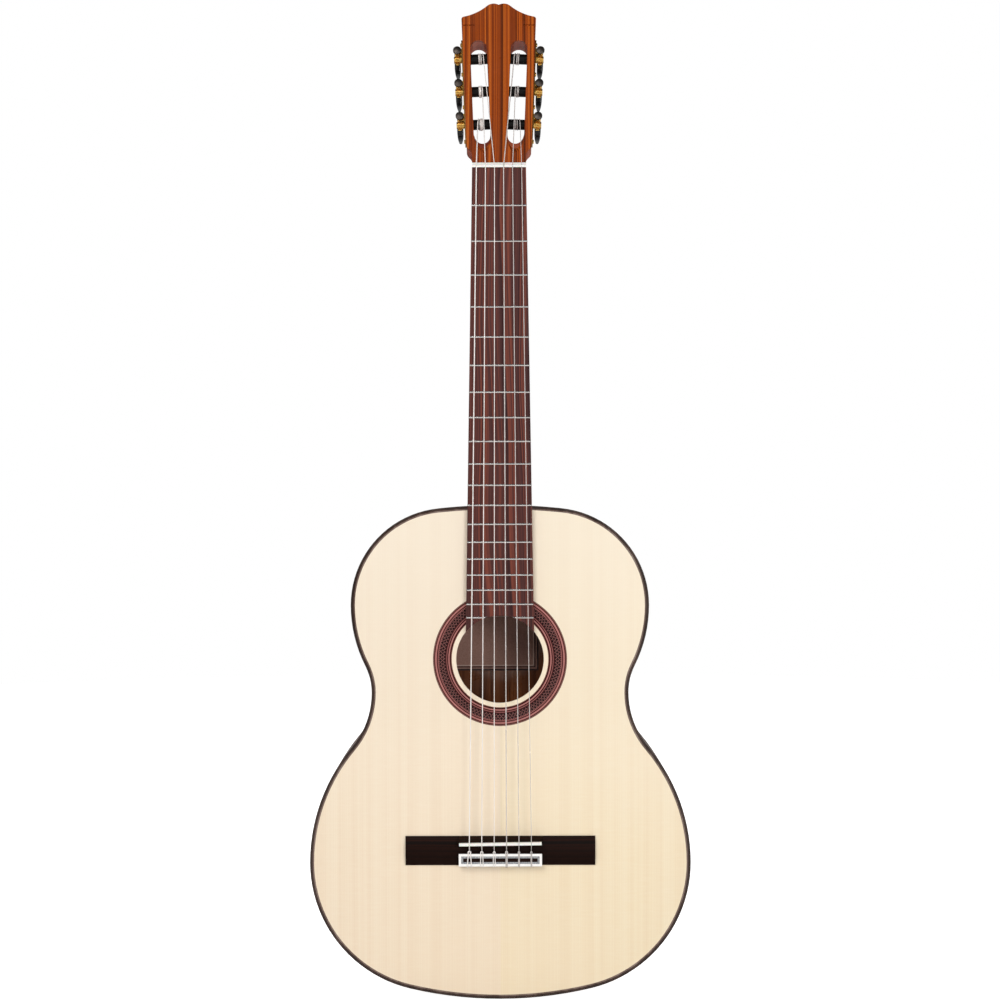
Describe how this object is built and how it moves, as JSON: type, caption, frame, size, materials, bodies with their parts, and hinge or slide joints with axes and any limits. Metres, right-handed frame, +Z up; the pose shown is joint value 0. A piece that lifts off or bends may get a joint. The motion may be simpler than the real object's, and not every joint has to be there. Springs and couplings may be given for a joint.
{
  "type": "classical guitar",
  "caption": "Classical guitar with a slotted headstock, worm-geared tuners, a tie bridge, a mosaic rosette and a braced hollow wooden body.",
  "frame": {"origin": "middle of the nut's front edge line, on the neck face that the fingerboard is glued to, which is level with the soundboard's front face", "axes": "+Z up the neck towards the headstock, +X towards the treble strings, +Y from the soundboard towards the back"},
  "size_m": [0.3676, 0.1144, 0.9711],
  "materials": {
    "spruce": "gloss",
    "rosewood": "gloss",
    "fingerboard_wood": "gloss",
    "veneer_wood": "gloss",
    "neck_wood": "gloss",
    "lining_wood": "matte",
    "mosaic": "gloss",
    "rosette_lines": "gloss",
    "binding_wood": "gloss",
    "paper": "matte",
    "nickel_silver": "polished",
    "bone": "satin",
    "gold_plate": "polished",
    "black_plastic": "gloss",
    "button_black": "gloss",
    "nylon": "gloss",
    "string_silver": "satin"
  },
  "bodies": {
    "root": {"back_bass_half": "rosewood", "back_binding": "binding_wood", "back_braces": "neck_wood", "back_centre_strip": "neck_wood", "back_treble_half": "rosewood", "bridge": "rosewood", "end_graft": "binding_wood", "fan_braces": "spruce", "fingerboard": "fingerboard_wood", "frets": "nickel_silver", "harmonic_bars": "spruce", "headstock": "neck_wood", "headstock_veneer": "veneer_wood", "heel_block": "neck_wood", "heel_cap": "rosewood", "label": "paper", "linings": "lining_wood", "neck_shaft": "neck_wood", "nut": "bone", "plate_screws": "gold_plate", "rib_bass": "rosewood", "rib_treble": "rosewood", "rosette_mosaic": "mosaic", "rosette_rings": "rosette_lines", "saddle": "bone", "soundboard_bass_half": "spruce", "soundboard_treble_half": "spruce", "strings_plain": "nylon", "strings_wound": "string_silver", "tail_block": "neck_wood", "tie_block_border": "bone", "top_binding": "binding_wood", "top_purfling": "binding_wood", "tuner_plate_bass": "gold_plate", "tuner_plate_treble": "gold_plate", "worm_bearings": "gold_plate"},
    "roller_bass_1": {"roller_bass_1": "black_plastic", "gear_bass_1": "gold_plate"},
    "worm_bass_1": {"worm_bass_1": "gold_plate", "button_bass_1": "button_black"},
    "roller_bass_2": {"roller_bass_2": "black_plastic", "gear_bass_2": "gold_plate"},
    "worm_bass_2": {"worm_bass_2": "gold_plate", "button_bass_2": "button_black"},
    "roller_bass_3": {"roller_bass_3": "black_plastic", "gear_bass_3": "gold_plate"},
    "worm_bass_3": {"worm_bass_3": "gold_plate", "button_bass_3": "button_black"},
    "roller_treble_1": {"roller_treble_1": "black_plastic", "gear_treble_1": "gold_plate"},
    "worm_treble_1": {"worm_treble_1": "gold_plate", "button_treble_1": "button_black"},
    "roller_treble_2": {"roller_treble_2": "black_plastic", "gear_treble_2": "gold_plate"},
    "worm_treble_2": {"worm_treble_2": "gold_plate", "button_treble_2": "button_black"},
    "roller_treble_3": {"roller_treble_3": "black_plastic", "gear_treble_3": "gold_plate"},
    "worm_treble_3": {"worm_treble_3": "gold_plate", "button_treble_3": "button_black"}
  },
  "joints": [
    {"name": "worm_bass_1_turn", "type": "hinge", "parent": "root", "child": "worm_bass_1", "pos_m": [-0.03811, 0.0202, 0.05119], "axis": [0, -0.9659, 0.2588], "continuous": true},
    {"name": "roller_bass_1_turn", "type": "hinge", "parent": "root", "child": "roller_bass_1", "pos_m": [-0.03236, 0.01859, 0.0452], "axis": [0.9992, 0.0103, 0.0384], "continuous": true},
    {"name": "worm_bass_2_turn", "type": "hinge", "parent": "root", "child": "worm_bass_2", "pos_m": [-0.03951, 0.02928, 0.0851], "axis": [0, -0.9659, 0.2588], "continuous": true},
    {"name": "roller_bass_2_turn", "type": "hinge", "parent": "root", "child": "roller_bass_2", "pos_m": [-0.03375, 0.02767, 0.0791], "axis": [0.9992, 0.0103, 0.0384], "continuous": true},
    {"name": "worm_bass_3_turn", "type": "hinge", "parent": "root", "child": "worm_bass_3", "pos_m": [-0.0409, 0.03834, 0.1189], "axis": [0, -0.9659, 0.2588], "continuous": true},
    {"name": "roller_bass_3_turn", "type": "hinge", "parent": "root", "child": "roller_bass_3", "pos_m": [-0.03515, 0.03673, 0.11291], "axis": [0.9992, 0.0103, 0.0384], "continuous": true},
    {"name": "worm_treble_1_turn", "type": "hinge", "parent": "root", "child": "worm_treble_1", "pos_m": [0.03811, 0.0202, 0.05119], "axis": [0, -0.9659, 0.2588], "continuous": true},
    {"name": "roller_treble_1_turn", "type": "hinge", "parent": "root", "child": "roller_treble_1", "pos_m": [0.03236, 0.01859, 0.0452], "axis": [0.9992, -0.0103, -0.0384], "continuous": true},
    {"name": "worm_treble_2_turn", "type": "hinge", "parent": "root", "child": "worm_treble_2", "pos_m": [0.03951, 0.02928, 0.0851], "axis": [0, -0.9659, 0.2588], "continuous": true},
    {"name": "roller_treble_2_turn", "type": "hinge", "parent": "root", "child": "roller_treble_2", "pos_m": [0.03375, 0.02767, 0.0791], "axis": [0.9992, -0.0103, -0.0384], "continuous": true},
    {"name": "worm_treble_3_turn", "type": "hinge", "parent": "root", "child": "worm_treble_3", "pos_m": [0.0409, 0.03834, 0.1189], "axis": [0, -0.9659, 0.2588], "continuous": true},
    {"name": "roller_treble_3_turn", "type": "hinge", "parent": "root", "child": "roller_treble_3", "pos_m": [0.03515, 0.03673, 0.11291], "axis": [0.9992, -0.0103, -0.0384], "continuous": true}
  ],
  "couplings": [
    {"joint": "roller_bass_1_turn", "follows": "worm_bass_1_turn", "ratio": -0.071429},
    {"joint": "roller_bass_2_turn", "follows": "worm_bass_2_turn", "ratio": -0.071429},
    {"joint": "roller_bass_3_turn", "follows": "worm_bass_3_turn", "ratio": -0.071429},
    {"joint": "roller_treble_1_turn", "follows": "worm_treble_1_turn", "ratio": -0.071429},
    {"joint": "roller_treble_2_turn", "follows": "worm_treble_2_turn", "ratio": -0.071429},
    {"joint": "roller_treble_3_turn", "follows": "worm_treble_3_turn", "ratio": -0.071429}
  ]
}
